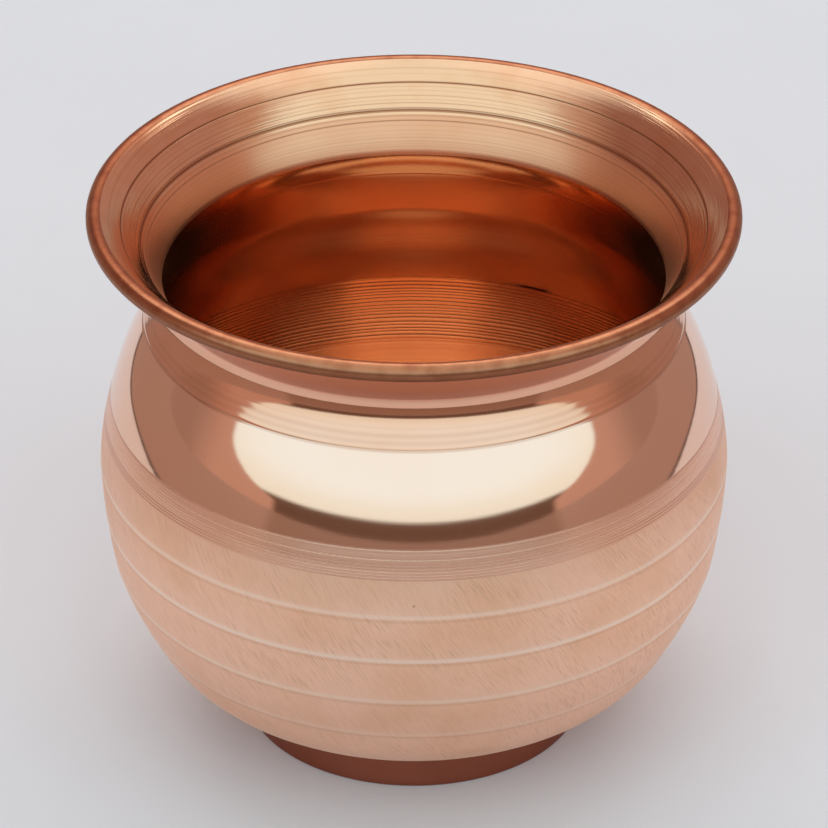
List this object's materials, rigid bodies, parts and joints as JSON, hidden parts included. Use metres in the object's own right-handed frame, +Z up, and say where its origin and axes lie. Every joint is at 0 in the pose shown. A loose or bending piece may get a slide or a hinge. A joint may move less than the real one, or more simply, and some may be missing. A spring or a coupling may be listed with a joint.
{
  "type": "lota",
  "caption": "Round-bellied copper water vessel with a flared lip rolled over a wire, a lapped and brazed belly joint and a low ring foot.",
  "frame": {"origin": "middle of the foot, on the table it stands on", "axes": "+Z up along the turning axis; the vessel is round, so X and Y are alike"},
  "size_m": [0.1, 0.1, 0.0892],
  "materials": {
    "polished_copper": "mirror-buffed copper with fine turned lines",
    "satin_copper": "brushed satin copper with burnished bands",
    "foot_copper": "buffed copper, darker in the corner",
    "wire_copper": "drawn copper wire",
    "braze_metal": "as-run brazing metal"
  },
  "bodies": {
    "root": {"lower_bowl": "satin_copper", "upper_shell": "polished_copper", "rim_wire": "wire_copper", "belly_braze": "braze_metal", "foot_ring": "foot_copper", "foot_braze": "braze_metal"}
  },
  "joints": []
}
